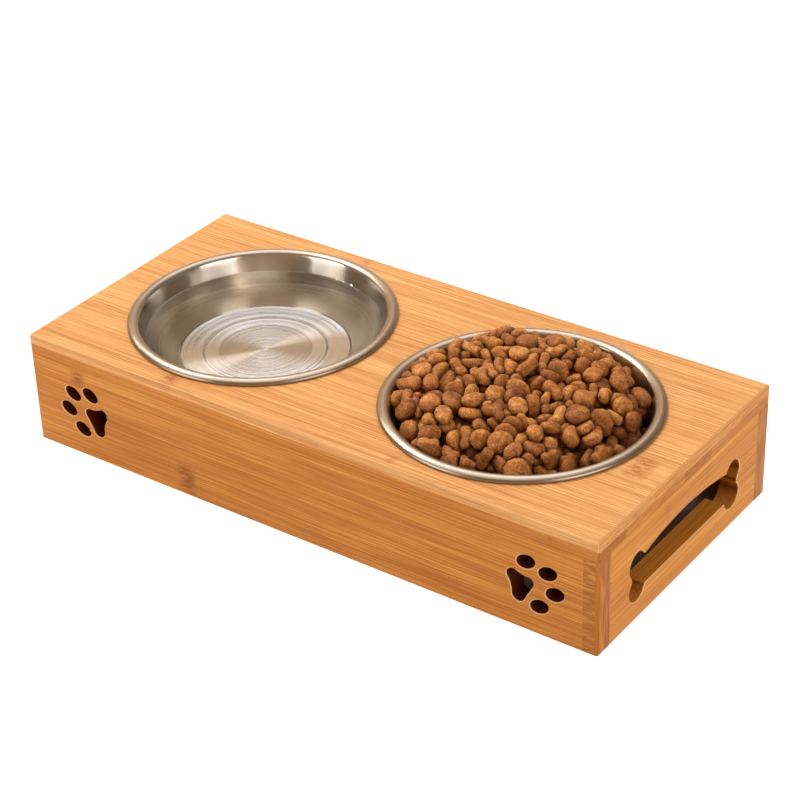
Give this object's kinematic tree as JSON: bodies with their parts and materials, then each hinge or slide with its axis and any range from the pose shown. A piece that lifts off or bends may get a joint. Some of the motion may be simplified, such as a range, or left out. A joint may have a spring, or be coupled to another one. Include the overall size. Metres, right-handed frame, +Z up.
{
  "type": "raised double pet feeder",
  "caption": "Low bamboo box stand with paw-print and bone-shaped cut-outs, holding round steel bowls by their rims, one heaped with kibble.",
  "frame": {"origin": "middle of the stand's footprint, on the surface that it stands on", "axes": "+Z up, +X along the stand towards the bowl of kibble, +Y from the paw-print front to the back"},
  "size_m": [0.386, 0.181, 0.0904],
  "materials": {
    "bamboo_top": "satin",
    "bamboo_edge": "satin",
    "bamboo_front": "satin",
    "bamboo_end": "satin",
    "dowel_beech": "matte",
    "bowl_steel": "satin",
    "kibble": "matte",
    "water": "gloss"
  },
  "bodies": {
    "stand": {"upper_ply": "bamboo_top", "lower_ply": "bamboo_edge", "front_panel": "bamboo_front", "back_panel": "bamboo_front", "left_end_panel": "bamboo_end", "right_end_panel": "bamboo_end", "front_top_dowels": "dowel_beech", "back_top_dowels": "dowel_beech", "left_top_dowels": "dowel_beech", "right_top_dowels": "dowel_beech", "front_left_dowels": "dowel_beech", "front_right_dowels": "dowel_beech", "back_left_dowels": "dowel_beech", "back_right_dowels": "dowel_beech"},
    "left_bowl": {"left_bowl": "bowl_steel"},
    "right_bowl": {"right_bowl": "bowl_steel"},
    "kibble": {"kibble": "kibble"}
  },
  "joints": [
    {"name": "left_bowl_lift", "type": "slide", "parent": "stand", "child": "left_bowl", "axis": [0, 0, 1], "range_m": [0, 0.08]},
    {"name": "right_bowl_lift", "type": "slide", "parent": "stand", "child": "right_bowl", "axis": [0, 0, 1], "range_m": [0, 0.08]},
    {"name": "kibble_lift", "type": "slide", "parent": "right_bowl", "child": "kibble", "axis": [0, 0, 1], "range_m": [0, 0.06]}
  ]
}
